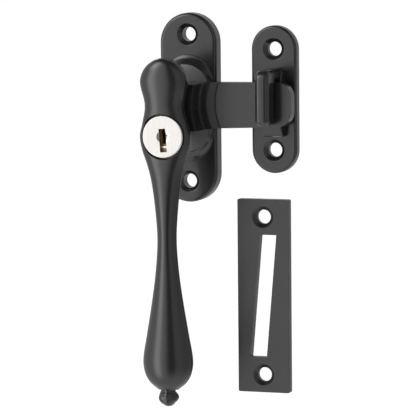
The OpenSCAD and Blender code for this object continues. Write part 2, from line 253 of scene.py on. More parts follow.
class Bench:
    """Edit-mode operations that every piece is made with."""

    @staticmethod
    def clear() -> None:
        """Leaves edit mode and deselects everything."""
        if bpy.context.object is not None and bpy.context.object.mode != "OBJECT":
            bpy.ops.object.mode_set(mode="OBJECT")
        bpy.ops.object.select_all(action="DESELECT")

    @staticmethod
    def only(piece: Piece) -> None:
        """Selects one object and makes it the active one.

        Args:
            piece: the object.
        """
        Bench.clear()
        piece.select_set(True)
        bpy.context.view_layer.objects.active = piece

    @staticmethod
    def loft(name: str, rings: Sequence[Ring]) -> Piece:
        """Extrudes a filled ring through further rings of as many points.

        Args:
            name: the new piece's name.
            rings: the rings, each a list of (x, up, height) points in millimetres.

        Returns:
            The closed piece, its normals outward.
        """
        Bench.clear()
        count = len(rings[0])
        bpy.ops.mesh.primitive_circle_add(vertices=count, radius=MM, fill_type="NGON")
        piece = bpy.context.object
        piece.name = piece.data.name = name
        bpy.ops.object.mode_set(mode="EDIT")
        bpy.ops.mesh.select_all(action="SELECT")
        for number, ring in enumerate(rings):
            if number:
                bpy.ops.mesh.extrude_region_move()
            mesh = bmesh.from_edit_mesh(piece.data)
            cap = next(face for face in mesh.faces if face.select)
            corners = [loop.vert for loop in cap.loops]
            if number:
                first = min(range(count), key=lambda k: (corners[k].co - start).length)
                corners = corners[first:] + corners[:first]
            for vert, point in zip(corners, ring):
                vert.co = stand(*point)
            start = corners[0].co.copy()
            bmesh.update_edit_mesh(piece.data)
        bpy.ops.mesh.select_all(action="SELECT")
        bpy.ops.mesh.remove_doubles(threshold=1e-7)
        bpy.ops.mesh.normals_make_consistent(inside=False)
        bpy.ops.object.mode_set(mode="OBJECT")
        return piece

    @staticmethod
    def apply(piece: Piece, kind: str, **settings: object) -> None:
        """Adds a modifier to a piece, sets it and applies it.

        Args:
            piece: the piece.
            kind: the modifier's type.
            settings: its settings.
        """
        Bench.only(piece)
        modifier = piece.modifiers.new(kind.lower(), kind)
        for key, value in settings.items():
            setattr(modifier, key, value)
        bpy.ops.object.modifier_apply(modifier=modifier.name)

    @staticmethod
    def boolean(piece: Piece, tools: Iterable[Piece], operation: str) -> None:
        """Joins tools to a piece (UNION) or cuts them from it (DIFFERENCE), and removes the tools.

        Args:
            piece: the piece.
            tools: the tools.
            operation: UNION or DIFFERENCE.
        """
        for tool in tools:
            Bench.apply(piece, "BOOLEAN", object=tool, operation=operation, solver="EXACT")
            bpy.data.objects.remove(tool, do_unlink=True)

    @staticmethod
    def soften(piece: Piece, width: float, steps: int = 3, angle: float = 40) -> None:
        """Rounds every edge sharper than an angle to a width in millimetres.

        Args:
            piece: the piece.
            width: the width.
            steps: the faces across it.
            angle: the angle in degrees.
        """
        Bench.apply(
            piece, "BEVEL", width=width * MM, segments=steps, limit_method="ANGLE",
            angle_limit=math.radians(angle), harden_normals=False, use_clamp_overlap=True,
        )

    @staticmethod
    def smooth(piece: Piece, angle: float = 35) -> None:
        """Merges doubles, shades smooth up to an angle and weights the normals to the big faces.

        Args:
            piece: the piece.
            angle: the angle in degrees.
        """
        Bench.only(piece)
        bpy.ops.object.mode_set(mode="EDIT")
        bpy.ops.mesh.select_all(action="SELECT")
        bpy.ops.mesh.remove_doubles(threshold=1e-6)
        bpy.ops.mesh.normals_make_consistent(inside=False)
        bpy.ops.object.mode_set(mode="OBJECT")
        bpy.ops.object.shade_smooth_by_angle(angle=math.radians(angle))
        Bench.apply(piece, "WEIGHTED_NORMAL", mode="FACE_AREA", weight=50, keep_sharp=True)

    @staticmethod
    def rod(name: str, levels: Sequence[Flat], centre: Flat = (0, 0)) -> Piece:
        """Makes a turned piece that stands on the woodwork.

        Args:
            name: the piece's name.
            levels: (radius, height) along its length.
            centre: where its axis stands.

        Returns:
            The closed turned piece.
        """
        return Bench.loft(name, [at_height(circle(radius), height, centre) for radius, height in levels])

    @staticmethod
    def box(name: str, low: Point, high: Point) -> Piece:
        """Makes a block between two corners of the flat drawing."""
        outline = [(low[0], low[1]), (high[0], low[1]), (high[0], high[1]), (low[0], high[1])]
        return Bench.loft(name, [at_height(outline, low[2]), at_height(outline, high[2])])

    @staticmethod
    def side_cut(name: str, profile: Sequence[Flat], sides: Flat, rim: float) -> Piece:
        """Extrudes a side profile across, with a rounded rim at each side.

        Args:
            name: the piece's name.
            profile: anticlockwise (up, height) points.
            sides: the x of its two sides.
            rim: the rims' radius.

        Returns:
            The closed piece.
        """
        turns = [math.radians(90 * k / RIM_STEPS) for k in range(RIM_STEPS + 1)]
        curve = [(rim * (1 - math.sin(turn)), rim * (1 - math.cos(turn))) for turn in turns]
        near = [(sides[0] + along, inward) for along, inward in reversed(curve)]
        far = [(sides[1] - along, inward) for along, inward in curve]
        rings = [[(x, up, height) for up, height in inset(profile, inward)] for x, inward in near + far]
        return Bench.loft(name, rings)

    @staticmethod
    def mount(piece: Piece, body: Body, slot: Slot, finish: Finish, nodes: Sequence[str]) -> None:
        """Dresses a piece, puts it on its body and lets it stand for its CAD nodes.

        Args:
            piece: the piece.
            body: its body.
            slot: its material slot; not used.
            finish: its material.
            nodes: the nodes that it stands for.
        """
        piece.data.materials.clear()
        piece.data.materials.append(finish)
        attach(piece, body.value)
        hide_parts(*nodes)
        LOG.info("%s: %d faces on %s", piece.name, len(piece.data.polygons), body.value)


# ---------------------------------------------------------------- shader wiring


@dataclass
class Wiring:
    """A node tree under construction."""

    tree: Tree

    def add(self, kind: str, operation: str | None = None, **inputs: object) -> Node:
        """Adds a node.

        Args:
            kind: its type.
            operation: what it works out, where it has a choice.
            inputs: its inputs' values; an underscore in a name stands for a space.

        Returns:
            The node.
        """
        node = self.tree.nodes.new("ShaderNode" + kind)
        if operation is not None:
            node.operation = operation
        for key, value in inputs.items():
            node.inputs[key.replace("_", " ")].default_value = value
        return node

    def put(self, value: Socket | float | Sequence[float], node: Node, socket: str | int) -> None:
        """Links another node's socket to a node's input, or sets the input to a constant.

        Args:
            value: the socket or the constant.
            node: the node that takes it.
            socket: the input's name or number.
        """
        if isinstance(value, Socket):
            self.tree.links.new(value, node.inputs[socket])
        else:
            node.inputs[socket].default_value = value

    def calculate(self, operation: str, *terms: Socket | float) -> Socket:
        """Adds a Math node.

        Args:
            operation: what it works out.
            terms: its terms in order.

        Returns:
            The result.
        """
        node = self.add("Math", operation)
        for place, term in enumerate(terms):
            self.put(term, node, place)
        return node.outputs[0]

    def noise(self, scale: Socket | float, detail: float) -> Socket:
        """Adds noise that lies still on the piece.

        Args:
            scale: its scale.
            detail: how many finer layers it has.

        Returns:
            The noise.
        """
        node = self.add("TexNoise", Detail=detail)
        self.put(scale, node, "Scale")
        self.put(self.add("TexCoord").outputs["Object"], node, "Vector")
        return node.outputs["Fac"]

    def spread(self, source: Socket, low: float, high: float, start: float = 0.3, end: float = 0.7) -> Socket:
        """Maps a stretch of a mask to a range of values.

        Args:
            source: the mask.
            low: the value at the stretch's start.
            high: the value at its end.
            start: the mask at the stretch's start.
            end: the mask at its end.

        Returns:
            The value.
        """
        node = self.add("MapRange", From_Min=start, From_Max=end, To_Min=low, To_Max=high)
        self.put(source, node, "Value")
        return node.outputs["Result"]

    def tint(self, mask: Socket, first: Socket | Sequence[float], second: Sequence[float]) -> Socket:
        """Blends two colours by a mask.

        Args:
            mask: 0 for the first colour and 1 for the second.
            first: the first colour, or a socket with it.
            second: the second colour.

        Returns:
            The colour.
        """
        node = self.add("Mix")
        node.data_type = "RGBA"
        self.put(first if isinstance(first, Socket) else (*first, 1), node, "A")
        self.put((*second, 1), node, "B")
        self.put(mask, node, "Factor")
        return node.outputs["Result"]


class Groups:
    """The node groups that the finishes share, each built once."""

    FINE_SCALE = 6.0
    CLOUD_SCALE = 0.25
    FINE_SHARE = 0.18
    EDGE_TURN = (0.995, 0.86)
    BREAKUP = (0.38, 0.62)

    @staticmethod
    def _new(name: str, inputs: dict[str, float], outputs: Sequence[str]) -> tuple[Wiring, Node, Node]:
        """Makes an empty group.

        Args:
            name: its name.
            inputs: its inputs and their values.
            outputs: its outputs.

        Returns:
            Its wiring, and its input and output nodes.
        """
        tree = bpy.data.node_groups.new(name, "ShaderNodeTree")
        for key, value in inputs.items():
            socket = tree.interface.new_socket(key, in_out="INPUT", socket_type="NodeSocketFloat")
            socket.default_value = value
        for key in outputs:
            tree.interface.new_socket(key, in_out="OUTPUT", socket_type="NodeSocketFloat")
        return Wiring(tree), tree.nodes.new("NodeGroupInput"), tree.nodes.new("NodeGroupOutput")

    @staticmethod
    def cast_skin() -> Tree:
        """Builds the skin of a lacquered casting.

        Returns:
            A group with a Height for bump and a Cloud mask of slow variation.
        """
        known = bpy.data.node_groups.get("cast_skin")
        if known is not None:
            return known
        wiring, entry, leave = Groups._new("cast_skin", {"Scale": 300.0}, ("Height", "Cloud"))
        scale = entry.outputs["Scale"]
        coarse = wiring.noise(scale, 2)
        fine = wiring.noise(wiring.calculate("MULTIPLY", scale, Groups.FINE_SCALE), 4)
        cloud = wiring.noise(wiring.calculate("MULTIPLY", scale, Groups.CLOUD_SCALE), 3)
        wiring.put(wiring.calculate("MULTIPLY_ADD", fine, Groups.FINE_SHARE, coarse), leave, "Height")
        wiring.put(cloud, leave, "Cloud")
        return wiring.tree

    @staticmethod
    def edge_wear() -> Tree:
        """Builds a mask of worn edges: where a rounded normal leaves the true one, broken by noise.

        Returns:
            A group with an Edge mask from 0 to 1.
        """
        known = bpy.data.node_groups.get("edge_wear")
        if known is not None:
            return known
        wiring, entry, leave = Groups._new("edge_wear", {"Radius": 0.0004, "Breakup": 900.0}, ("Edge",))
        rounded = wiring.add("Bevel")
        rounded.samples = 4
        wiring.put(entry.outputs["Radius"], rounded, "Radius")
        turn = wiring.add("VectorMath", "DOT_PRODUCT")
        wiring.put(rounded.outputs["Normal"], turn, 0)
        wiring.put(wiring.add("NewGeometry").outputs["Normal"], turn, 1)
        edge = wiring.spread(turn.outputs["Value"], 0, 1, *Groups.EDGE_TURN)
        broken = wiring.spread(wiring.noise(entry.outputs["Breakup"], 2), 0, 1, *Groups.BREAKUP)
        wiring.put(wiring.calculate("MULTIPLY", edge, broken), leave, "Edge")
        return wiring.tree


class Shader(Wiring):
    """A material under construction, with its Principled shader at hand."""

    def __init__(self, name: str) -> None:
        """Makes the material and finds its shader.

        Args:
            name: the material's name.
        """
        self.material = bpy.data.materials.new(name)
        self.material.use_nodes = True
        super().__init__(self.material.node_tree)
        self.principled = self.tree.nodes["Principled BSDF"]

    def set(self, **values: object) -> None:
        """Sets the shader's own sockets; an underscore in a name stands for a space."""
        for key, value in values.items():
            self.principled.inputs[key.replace("_", " ")].default_value = value

    def group(self, tree: Tree, **values: float) -> Node:
        """Places a node group.

        Args:
            tree: the group.
            values: its inputs' values.

        Returns:
            The group's node.
        """
        node = self.add("Group")
        node.node_tree = tree
        for key, value in values.items():
            node.inputs[key].default_value = value
        return node

    def feed(self, source: Socket, socket: str) -> None:
        """Links a value to one of the shader's sockets."""
        self.put(source, self.principled, socket)

    def bump(self, height: Socket, strength: float, distance: float) -> None:
        """Feeds the shader's normal from a height.

        Args:
            height: the height.
            strength: how strongly it shows.
            distance: its depth in metres.
        """
        node = self.add("Bump", Strength=strength, Distance=distance)
        self.put(height, node, "Height")
        self.feed(node.outputs["Normal"], "Normal")


# ---------------------------------------------------------------- finishes


@dataclass(frozen=True)
class SatinLacquer:
    """Black satin lacquer, with a slightly uneven skin and edges rubbed lighter."""

    name: str
    black: tuple[float, float, float] = (0.0125, 0.0125, 0.0135)
    # Colour of the worn edges; in the boss-top material this lighter edge is part of the painted highlight.
    wear_and_painted_highlight: tuple[float, float, float] = (0.05, 0.05, 0.052)
    rough_low: float = 0.2
    rough_high: float = 0.28
    skin_scale: float = 260.0
    skin_depth: float = 0.00003
    skin_strength: float = 0.35
    wear_r: float = 0.00035
    coat: float = 0.25
    coat_rough: float = 0.14

    def make(self) -> Finish:
        """Returns the material."""
        shader = Shader(self.name)
        skin = shader.group(Groups.cast_skin(), Scale=self.skin_scale)
        wear = shader.group(Groups.edge_wear(), Radius=self.wear_r)
        shader.set(Specular_IOR_Level=0.5, Coat_Weight=self.coat, Coat_Roughness=self.coat_rough)
        shader.feed(shader.tint(wear.outputs["Edge"], self.black, self.wear_and_painted_highlight), "Base Color")
        shader.feed(shader.spread(skin.outputs["Cloud"], self.rough_low, self.rough_high), "Roughness")
        shader.bump(skin.outputs["Height"], self.skin_strength, self.skin_depth)
        return shader.material


@dataclass(frozen=True)
class BrushedMetal:
    """Plated or bare metal with fine marks and slow staining."""

    name: str
    bright: tuple[float, float, float]
    dull: tuple[float, float, float]
    rough_low: float = 0.22
    rough_high: float = 0.36
    stretch: tuple[float, float, float] = (1.0, 1.0, 1.0)
    mark_scale: float = 1500.0
    mark_depth: float = 0.00001
    mark_strength: float = 0.4
    stain_scale: float = 500.0

    def make(self) -> Finish:
        """Returns the material."""
        shader = Shader(self.name)
        shader.set(Metallic=1.0)
        skin = shader.group(Groups.cast_skin(), Scale=self.stain_scale)
        mapping = shader.add("Mapping", Scale=self.stretch)
        shader.put(shader.add("TexCoord").outputs["Object"], mapping, "Vector")
        marks = shader.add("TexNoise", Scale=self.mark_scale, Detail=3)
        shader.put(mapping.outputs["Vector"], marks, "Vector")
        shader.feed(shader.tint(skin.outputs["Cloud"], self.bright, self.dull), "Base Color")
        shader.feed(shader.spread(marks.outputs["Fac"], self.rough_low, self.rough_high), "Roughness")
        shader.bump(marks.outputs["Fac"], self.mark_strength, self.mark_depth)
        return shader.material


# ---------------------------------------------------------------- sub-assemblies


@dataclass
class ScrewHoles:
    """Countersunk holes a pitch apart, one above the other."""

    pitch: float
    plate: float
    centre: Flat = (0.0, 0.0)
    hole_r: float = 2.25
    sink_r: float = 3.5
    rim: float = 0.12

    def cutters(self) -> list[Piece]:
        """Returns one turned cutter for each hole."""
        sink = self.sink_r - self.hole_r
        levels = [
            (self.hole_r + 0.25, -1.0), (self.hole_r + 0.25, -0.01), (self.hole_r, 0.2),
            (self.hole_r, self.plate - sink), (self.sink_r - self.rim, self.plate - self.rim),
            (self.sink_r + self.rim, self.plate + 0.02), (self.sink_r + self.rim, self.plate + 4),
        ]
        x, up = self.centre
        return [Bench.rod("hole_cutter", levels, (x, up + side * self.pitch / 2)) for side in (-1, 1)]


@dataclass
class BasePlate:
    """The plate on the casement, with the raised boss that the lever turns on."""

    edge_r: float = 1.1
    back_edge: float = 0.25
    boss_foot: Flat = (33.8, 17.0)
    boss_top: Flat = (27.4, 15.4)
    plate: float = 5.0
    pitch: float = 46.5
    journal_r: float = 4.03
    recess_r: float = 6.6
    recess_h: float = 2.6
    socket_r: float = 1.8
    socket_low: float = 5.4
    socket_lip: float = 0.3
    lock_up: float = -7.3
    stop_r: float = 8.5
    stop_spread: float = 59.0
    # Where the boss's top takes the painted highlight: height above the plate and how squarely a face looks
    # forward.
    land_rise: float = 2.4
    land_facing: float = 0.97

    def rings(self) -> list[Ring]:
        """Returns the plate's rings from its back, round its edge and up over the boss."""
        low, high = node_box("base_plate")
        length, width, top = high[1] - low[1], high[0] - low[0], high[2]
        rings = plate_rings((length, width), self.plate, self.edge_r, self.back_edge)
        spare = width - 2 * self.edge_r - self.boss_foot[1]
        foot = stadium(self.boss_foot[0] + spare, self.boss_foot[1] + 0.5 * spare)
        rings.append(at_height(foot, self.plate))
        return rings + self._boss(top)

    def _boss(self, top: float) -> list[Ring]:
        """Draws the boss: a bead at its foot, a hollow slope, a crisp brow and a faint crown.

        Args:
            top: the crown's height.

        Returns:
            The rings from the foot up.
        """
        sweep = [
            (0.0, 0.0), (0.02, 0.05), (0.06, 0.09), (0.13, 0.1), (0.22, 0.13), (0.36, 0.22),
            (0.52, 0.37), (0.68, 0.56), (0.83, 0.76), (0.93, 0.87), (1.0, 0.905),
        ]
        crown = [(1.0, 0.94), (2.4, 0.975), (4.2, 1.0)]
        rings = []
        for inward, upward in sweep:
            length = self.boss_foot[0] + (self.boss_top[0] - self.boss_foot[0]) * inward
            width = self.boss_foot[1] + (self.boss_top[1] - self.boss_foot[1]) * inward
            rings.append(at_height(stadium(length, width), self.plate + (top - self.plate) * upward))
        for inward, upward in crown:
            outline = stadium(self.boss_top[0] - 2 * inward, self.boss_top[1] - 2 * inward)
            rings.append(at_height(outline, self.plate + (top - self.plate) * upward))
        return rings

    def cutters(self) -> list[Piece]:
        """Returns the cutters for the screw holes, the pivot, its recess, the stop and the bolt's sockets."""
        top = node_box("base_plate")[1][2]
        journal = [(self.journal_r, -1), (self.journal_r, top + 1)]
        recess = [(self.recess_r, -1), (self.recess_r, self.recess_h)]
        lip_r = self.socket_r + self.socket_lip
        socket = [
            (self.socket_r, self.socket_low), (self.socket_r, top - 0.15),
            (lip_r, top + 0.1), (lip_r, top + 2),
        ]
        tools = ScrewHoles(self.pitch, self.plate).cutters()
        tools.append(Bench.rod("journal_cutter", journal))
        tools.append(Bench.rod("recess_cutter", recess))
        for place in ((0, self.lock_up), (self.lock_up, 0)):
            tools.append(Bench.rod("socket_cutter", socket, place))
        sector = [(0.0, 0.0)] + arc((0, 0), self.stop_r, 90 - self.stop_spread, 90 + self.stop_spread, 24)
        levels = (-1, self.recess_h - 0.01)
        tools.append(Bench.loft("stop_cutter", [at_height(sector, level) for level in levels]))
        return tools

    def build(self, finish: Finish, wear_and_painted_highlight: Finish) -> Piece:
        """Builds and mounts the plate.

        Args:
            finish: its material.
            wear_and_painted_highlight: the lighter material of the boss's top, a painted highlight for the
                light that falls there.

        Returns:
            The finished piece.
        """
        piece = Bench.loft("base_casting", self.rings())
        Bench.boolean(piece, self.cutters(), "DIFFERENCE")
        Bench.smooth(piece)
        Bench.mount(piece, Body.WINDOW, Slot.CASTING, finish, ["base_plate"])
        # The boss's flat top gets the lighter material: a painted highlight standing in for the light that
        # falls on it, not a change of finish.
        piece.data.materials.append(wear_and_painted_highlight)
        for face in piece.data.polygons:
            if -face.center.y > (self.plate + self.land_rise) * MM and -face.normal.y > self.land_facing:
                face.material_index = 1
        return piece


@dataclass
class HookPlate:
    """The keeper on the frame: a plate with a leg, a bar hanging from it and a ramped pad."""

    edge_r: float = 0.8
    back_edge: float = 0.2
    plate: float = 3.4
    pitch: float = 31.8
    buried: float = 1.5
    bar_x: Flat = (26.7, 31.2)
    bar_back: float = 11.8
    bar_low: float = -4.4
    bar_high: float = 13.0
    throat_roof: float = 9.4
    throat_r: float = 0.8
    shoulder_r: float = 3.0
    toe_r: float = 1.8
    lead: float = 1.2
    pad_x: Flat = (25.4, 31.8)
    pad_top: float = 7.6
    pad_low: float = -8.6
    pad_high: float = 12.4
    pad_ramp: float = 2.8
    pad_rim: float = 0.35
    rim_r: float = 1.5

    def plate_piece(self) -> Piece:
        """Returns the stadium plate with its rounded front edge."""
        low, high = node_box("hook_plate")
        size = (high[1] - low[1], high[0] - low[0])
        rings = plate_rings(size, self.plate, self.edge_r, self.back_edge, box_middle(low, high))
        return Bench.loft("hook_casting", rings)

    def hook(self) -> Piece:
        """Returns the leg and the bar as one piece with every edge rounded."""
        front = node_box("hook_plate")[1][2]
        root, corner = self.plate - self.buried, self.bar_back + self.lead
        profile = [(self.throat_roof, root), (self.bar_high, root)]
        profile += arc((self.bar_high - self.shoulder_r, front - self.shoulder_r), self.shoulder_r, 0, 90, 10)
        profile += arc((self.bar_low + self.toe_r, front - self.toe_r), self.toe_r, 90, 180, 6)
        profile += [(self.bar_low, corner), (self.bar_low + self.lead, self.bar_back)]
        throat = (self.throat_roof - self.throat_r, self.bar_back - self.throat_r)
        profile += arc(throat, self.throat_r, 90, 0, 4)
        return Bench.side_cut("hook_bar", profile, self.bar_x, self.rim_r)

    def pad(self) -> Piece:
        """Returns the ramped pad."""
        root = self.plate - self.buried
        profile = [
            (self.pad_low, root), (self.pad_high, root), (self.pad_high, self.pad_top - 1.6),
            (self.pad_high - 1.6, self.pad_top), (self.pad_low + self.pad_ramp, self.pad_top),
            (self.pad_low + 0.3, self.pad_top - 1.0), (self.pad_low, self.pad_top - 1.5),
            (self.pad_low, self.plate),
        ]
        return Bench.side_cut("hook_pad", profile, self.pad_x, self.pad_rim)

    def build(self, finish: Finish) -> Piece:
        """Builds and mounts the keeper.

        Args:
            finish: its material.

        Returns:
            The finished piece.
        """
        centre = box_middle(*node_box("hook_plate"))
        piece = self.plate_piece()
        Bench.boolean(piece, [self.pad(), self.hook()], "UNION")
        Bench.boolean(piece, ScrewHoles(self.pitch, self.plate, centre).cutters(), "DIFFERENCE")
        Bench.smooth(piece)
        Bench.mount(piece, Body.WINDOW, Slot.CASTING, finish, ["hook_plate"])
        return piece


@dataclass
class MorticePlate:
    """The flat keeper with the slanted slot."""

    pitch: float = 50.3
    slot_w: float = 5.4
    slot_len: float = 39.0
    slot_lean: float = 3.4
    corner_r: float = 0.5
    soften_r: float = 0.22

    def build(self, finish: Finish) -> Piece:
        """Builds and mounts the plate.

        Args:
            finish: its material.

        Returns:
            The finished piece.
        """
        low, high = node_box("mortice_plate")
        centre = box_middle(low, high)
        half_w = (high[0] - low[0]) / 2 - self.corner_r
        half_h = (high[1] - low[1]) / 2 - self.corner_r
        outline = []
        for turn, (right, up) in zip((0, 90, 180, 270), ((1, 1), (-1, 1), (-1, -1), (1, -1))):
            outline += arc((right * half_w, up * half_h), self.corner_r, turn, turn + 90, 4)
        piece = Bench.loft("mortice_strip", [at_height(outline, level, centre) for level in (0, high[2])])
        lean, half = self.slot_lean / 2, self.slot_w / 2
        end = self.slot_len / 2
        slot = [(lean - half, end), (lean + half, end), (half - lean, -end), (-half - lean, -end)]
        cutter = Bench.loft("slot_cutter", [at_height(slot, level, centre) for level in (-1, high[2] + 1)])
        Bench.boolean(piece, [cutter], "DIFFERENCE")
        Bench.soften(piece, self.soften_r, 3, 50)
        Bench.boolean(piece, ScrewHoles(self.pitch, high[2], centre).cutters(), "DIFFERENCE")
        Bench.smooth(piece)
        Bench.mount(piece, Body.WINDOW, Slot.PLATE, finish, ["mortice_plate"])
        return piece


@dataclass
class Lever:
    """The hanging lever: a two-lobed head, a thin neck and a pear-drop grip."""

    # (up, half width, half depth, middle above the woodwork, squareness)
    stations: tuple[tuple[float, float, float, float, float], ...] = (
        (17.0, 1.2, 1.6, 27.3, 2.2),
        (16.3, 3.2, 2.6, 27.3, 2.3),
        (14.6, 5.5, 3.5, 27.2, 2.4),
        (12.2, 7.1, 4.0, 27.1, 2.4),
        (9.2, 7.7, 4.1, 27.0, 2.4),
        (2.4, 6.3, 3.7, 26.7, 2.4),
        (-3.4, 7.4, 3.35, 26.2, 2.6),
        (-7.3, 8.3, 3.2, 26.0, 2.8),
        (-11.4, 7.7, 3.2, 26.0, 2.6),
        (-16.2, 6.1, 3.1, 25.9, 2.4),
        (-21.1, 4.9, 3.0, 25.8, 2.2),
        (-29.0, 3.8, 2.8, 25.7, 2.1),
        (-39.5, 3.1, 2.6, 25.6, 2.0),
        (-50.0, 3.8, 2.9, 25.6, 2.0),
        (-60.0, 5.2, 3.7, 25.6, 2.0),
        (-70.0, 6.9, 4.8, 25.6, 2.0),
        (-77.4, 8.1, 5.5, 25.6, 2.0),
        (-81.6, 7.6, 5.2, 25.6, 2.0),
        (-84.6, 6.0, 4.2, 25.6, 2.0),
        (-86.8, 3.4, 2.6, 25.6, 2.0),
    )
    steps: int = 6
    sides: int = 96
    lock_up: float = -7.3
    well_r: float = 7.05
    well_low: float = 27.4
    well_rim: float = 0.16
    bore_low: float = 20.0
    housing_r: float = 4.5
    square: float = 4.84
    square_front: float = 26.8
    grub_r: float = 1.52
    grub_up: float = 2.2
    grub_height: float = 24.7
    grub_x: Flat = (-20.0, -2.0)

    def _value(self, index: int, column: int, part: float) -> float:
        """Finds a smooth value between two stations.

        Args:
            index: the station before.
            column: the value's place in a station.
            part: how far along to the station after, 0 to 1.

        Returns:
            The value.
        """
        last = len(self.stations) - 1

        def station(k: int) -> tuple[float, ...]:
            """Returns the nearest real station."""
            return self.stations[max(0, min(last, k))]

        def slope(k: int) -> float:
            """Returns the column's slope at a station."""
            after, before = station(k + 1), station(k - 1)
            return (after[column] - before[column]) / (after[0] - before[0])

        span = station(index + 1)[0] - station(index)[0]
        square, cube = part * part, part ** 3
        here = (2 * cube - 3 * square + 1) * station(index)[column]
        leaving = (cube - 2 * square + part) * span * slope(index)
        there = (3 * square - 2 * cube) * station(index + 1)[column]
        arriving = (cube - square) * span * slope(index + 1)
        return here + leaving + there + arriving

    def ring(self, index: int, part: float) -> Ring:
        """Draws the rounded section between two stations.

        Args:
            index: the station before.
            part: how far along to the station after, 0 to 1.

        Returns:
            The section's points.
        """
        up = self.stations[index][0] + part * (self.stations[index + 1][0] - self.stations[index][0])
        half_w, half_d, middle, square = (self._value(index, column, part) for column in (1, 2, 3, 4))
        ring = []
        for k in range(self.sides):
            turn = 2 * math.pi * k / self.sides
            across, deep = math.cos(turn), math.sin(turn)
            scale = (abs(across) ** square + abs(deep) ** square) ** (-1 / square)
            ring.append((half_w * across * scale, up, middle + half_d * deep * scale))
        return ring

    def build(self, finish: Finish) -> Piece:
        """Builds and mounts the lever.

        Args:
            finish: its material.

        Returns:
            The finished piece.
        """
        spans = len(self.stations) - 1
        rings = [self.ring(index, step / self.steps) for index in range(spans) for step in range(self.steps)]
        rings.append(self.ring(spans - 1, 1.0))
        piece = Bench.loft("lever_grip", rings)
        front = node_box("lever_handle")[1][2]
        bore_r, mouth_r, half = self.housing_r + 0.01, self.well_r + self.well_rim, self.square / 2
        well = [
            (bore_r, self.bore_low), (bore_r, self.well_low), (self.well_r, self.well_low),
            (self.well_r, self.well_low + 1.0), (mouth_r, self.well_low + 1.5), (mouth_r, front + 0.6),
        ]
        grub = [(self.grub_up + a, self.grub_height + b) for a, b in circle(self.grub_r, 32)]
        tools = [
            Bench.rod("well_cutter", well, (0, self.lock_up)),
            Bench.box("square_cutter", (-half, -half, self.bore_low), (half, half, self.square_front)),
            Bench.loft("grub_cutter", [[(x, up, height) for up, height in grub] for x in self.grub_x]),
        ]
        Bench.boolean(piece, tools, "DIFFERENCE")
        Bench.smooth(piece, 40)
        Bench.mount(piece, Body.LEVER, Slot.CASTING, finish, ["lever_handle"])
        return piece


@dataclass
class BallFinial:
    """The hand-dressed ball under the grip, on its short neck."""

    axis: float = 25.6
    lumps: float = 0.42
    lump_size: float = 3.2
    neck_r: float = 2.1
    bead: float = 0.25
    spigot_r: float = 1.5
    collar_part: float = 0.72
    pole_r: float = 0.18
    steps: int = 22

    def build(self, finish: Finish) -> Piece:
        """Builds and mounts the ball.

        Args:
            finish: its material.

        Returns:
            The finished piece.
        """
        low, high = node_box("ball_finial")
        radius = (high[0] - low[0]) / 2
        centre = low[1] + radius
        collar = centre + radius * self.collar_part
        turns = [math.radians(3 + 172 * step / self.steps) for step in range(self.steps + 1)]
        ball = [(radius * math.sin(turn), centre - radius * math.cos(turn)) for turn in turns]
        levels = [(max(r, self.pole_r), up) for r, up in ball if up < collar]
        bead_r = self.neck_r + self.bead
        levels += [
            (self.neck_r, collar), (bead_r, collar + self.bead), (bead_r, collar + 0.6),
            (self.neck_r - 0.1, collar + 0.9), (self.spigot_r, collar + 1.0), (self.spigot_r, high[1]),
        ]
        rings = [[(r * a, up, self.axis + r * b) for a, b in circle(1.0, 48)] for r, up in levels]
        piece = Bench.loft("lever_ball", rings)
        texture = bpy.data.textures.new("ball_lumps", "VORONOI")
        texture.noise_scale = self.lump_size * MM
        texture.distance_metric = "DISTANCE"
        Bench.only(piece)
        group = piece.vertex_groups.new(name="ball")
        limit = (collar - 0.3) * MM
        group.add([v.index for v in piece.data.vertices if v.co.z < limit], 1.0, "REPLACE")
        Bench.apply(
            piece, "DISPLACE", texture=texture, texture_coords="LOCAL", strength=-self.lumps * 2 * MM,
            mid_level=0.0, vertex_group="ball",
        )
        Bench.smooth(piece, 50)
        Bench.mount(piece, Body.LEVER, Slot.CASTING, finish, ["ball_finial"])
        return piece


